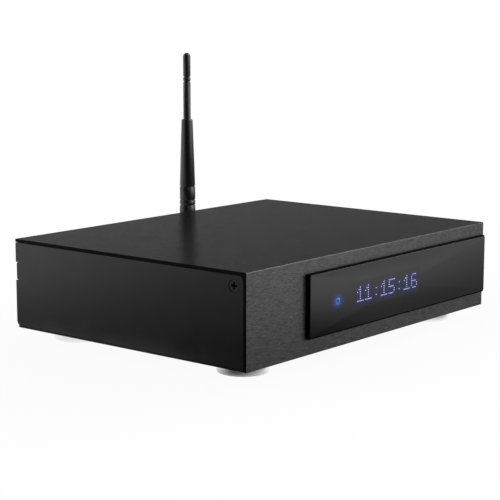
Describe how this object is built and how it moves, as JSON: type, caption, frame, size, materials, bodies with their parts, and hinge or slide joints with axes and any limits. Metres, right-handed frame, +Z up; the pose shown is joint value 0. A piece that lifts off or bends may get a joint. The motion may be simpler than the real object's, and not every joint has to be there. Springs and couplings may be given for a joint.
{
  "type": "media player with hard drive tray",
  "caption": "Flat box media player on round feet, with a glossy front display, a side tray for a 3.5 inch hard drive, rear sockets, a fan and a tilting antenna",
  "frame": {"origin": "centre of the bounding box in plan, at the undersides of the foot pads", "axes": "+X to the right along the front, from the drive tray's side to the card slot's side; +Y from the front to the rear; +Z up, along the antenna"},
  "size_m": [0.256, 0.2188, 0.1797],
  "materials": {
    "anodised_aluminium": "fine-grained, dark grey anodised",
    "painted_panel": "smooth matte dark grey",
    "black_steel": "black oxide",
    "plated_steel": "zinc plated sheet",
    "moulded_black": "fine moulded texture",
    "circuit_board": "green solder mask",
    "flat_cable": "grey cable sheath",
    "turned_aluminium": "turned, with concentric tool lines",
    "foot_rubber": "matte",
    "gloss_black": "polished",
    "display_glass": "clear over a dark filling",
    "clear_light": "clear light guide, lit blue",
    "gold_plate": "gold plated",
    "satin_black": "satin"
  },
  "bodies": {
    "casing": {"antenna_connector": "gold_plate", "antenna_lead": "moulded_black", "antenna_panel_nut": "gold_plate", "audio_socket": "moulded_black", "backplane": "circuit_board", "base_plate": "black_steel", "bay_cage": "plated_steel", "card_socket": "plated_steel", "display_block": "gloss_black", "display_board": "circuit_board", "display_ribbon": "flat_cable", "display_tube": "display_glass", "drive_cable": "flat_cable", "drive_plug": "moulded_black", "fan_frame": "moulded_black", "fan_lead": "moulded_black", "foot_front_left": "turned_aluminium", "foot_front_right": "turned_aluminium", "foot_pad_front_left": "foot_rubber", "foot_pad_front_right": "foot_rubber", "foot_pad_rear_left": "foot_rubber", "foot_pad_rear_right": "foot_rubber", "foot_rear_left": "turned_aluminium", "foot_rear_right": "turned_aluminium", "foot_screw_front_left": "plated_steel", "foot_screw_front_right": "plated_steel", "foot_screw_rear_left": "plated_steel", "foot_screw_rear_right": "plated_steel", "guide_rail_front": "moulded_black", "guide_rail_rear": "moulded_black", "heatsink": "turned_aluminium", "infrared_receiver": "moulded_black", "light_ring": "clear_light", "main_board": "circuit_board", "network_socket": "plated_steel", "optical_socket": "moulded_black", "outer_shell": "anodised_aluminium", "power_socket": "moulded_black", "rear_panel": "black_steel", "right_panel": "painted_panel", "right_panel_screw_front": "black_steel", "right_panel_screw_rear": "black_steel", "switch_housing": "moulded_black", "usb_socket_rear": "plated_steel", "usb_socket_side_front": "plated_steel", "usb_socket_side_rear": "plated_steel", "video_socket": "plated_steel"},
    "tray": {"tray_face": "painted_panel", "drive_tray": "plated_steel"},
    "tray_screw": {"tray_screw": "black_steel"},
    "fan_rotor": {"fan_rotor": "moulded_black"},
    "rocker": {"switch_rocker": "moulded_black"},
    "coupling_nut": {"antenna_coupling_nut": "gold_plate"},
    "antenna_base": {"antenna_elbow": "satin_black", "antenna_pin": "plated_steel"},
    "antenna": {"antenna_sleeve": "satin_black", "antenna_rod": "satin_black"}
  },
  "joints": [
    {"name": "tray_slide", "type": "slide", "parent": "casing", "child": "tray", "axis": [-1, 0, 0], "range_m": [0, 0.165]},
    {"name": "tray_screw_turn", "type": "hinge", "parent": "tray", "child": "tray_screw", "pos_m": [-0.128, -0.09667, 0.0581], "axis": [1, 0, 0], "continuous": true},
    {"name": "fan_spin", "type": "hinge", "parent": "casing", "child": "fan_rotor", "pos_m": [-0.083, 0.07913, 0.0374], "axis": [0, 1, 0], "continuous": true},
    {"name": "rocker_tilt", "type": "hinge", "parent": "casing", "child": "rocker", "pos_m": [0.11, 0.08622, 0.0459], "axis": [1, 0, 0], "range_deg": [0, 22]},
    {"name": "coupling_nut_turn", "type": "hinge", "parent": "casing", "child": "coupling_nut", "pos_m": [0.056, 0.09223, 0.0449], "axis": [0, 1, 0], "continuous": true},
    {"name": "antenna_swivel", "type": "hinge", "parent": "casing", "child": "antenna_base", "pos_m": [0.056, 0.09652, 0.0449], "axis": [0, 1, 0], "range_deg": [-90, 90]},
    {"name": "antenna_tilt", "type": "hinge", "parent": "antenna_base", "child": "antenna", "pos_m": [0.056, 0.10312, 0.0449], "axis": [-1, 0, 0], "range_deg": [0, 90]}
  ]
}
